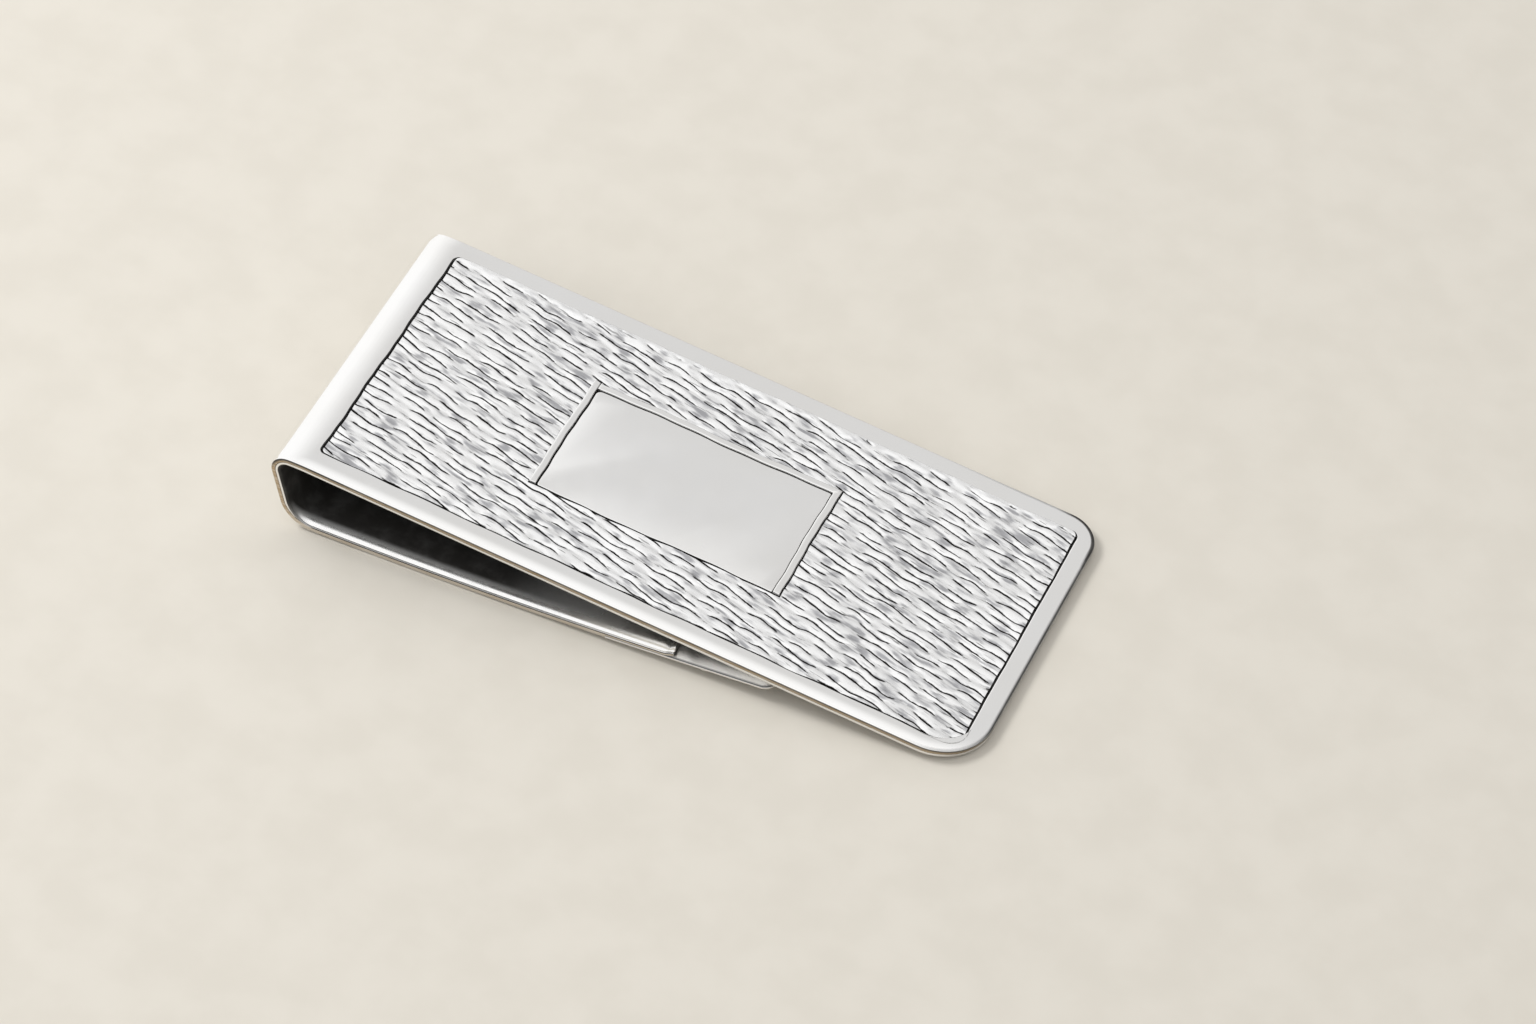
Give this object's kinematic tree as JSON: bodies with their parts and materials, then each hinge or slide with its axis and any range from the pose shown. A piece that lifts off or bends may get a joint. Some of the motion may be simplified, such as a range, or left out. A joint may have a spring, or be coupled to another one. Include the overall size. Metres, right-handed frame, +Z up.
{
  "type": "money clip",
  "caption": "Folded spring money clip in polished metal with an engine-turned front panel, plain name tablet with raised rails, and a lapped tongue.",
  "frame": {"origin": "middle of the footprint, on the level the clip lies on, in the pose in which it rests on its bent rear leaf and its free end", "axes": "+X from the bow to the free end of the front leaf, +Y across the leaves to the far side, +Z up"},
  "size_m": [0.051, 0.0238, 0.0065],
  "materials": {
    "polished_silver": "mirror-polished sterling silver with fine wear scratches",
    "engine_turned_silver": "engine-turned sterling silver, bright lens-shaped grains between dark oxidised cuts",
    "strip_silver": "polished sterling silver strip, lightly tarnished inside the fold",
    "rivet_silver": "polished silver rivet heads"
  },
  "bodies": {
    "rear_arm": {"rear_leaf": "strip_silver", "spring_tongue": "strip_silver", "tongue_rivets": "rivet_silver"},
    "front": {"front_leaf": "strip_silver", "front_border": "polished_silver", "engine_turned_panel": "engine_turned_silver", "name_tablet": "polished_silver", "bow_end_rail": "polished_silver", "free_end_rail": "polished_silver", "far_side_rail": "polished_silver", "spring_bow": "strip_silver"}
  },
  "joints": [
    {"name": "spring_flex", "type": "hinge", "parent": "rear_arm", "child": "front", "pos_m": [-0.02234, 0, 0.00269], "axis": [0, -1, 0], "range_deg": [0, 10], "stiffness_Nm_per_rad": 2.6, "deforming": ["spring_bow"]}
  ]
}
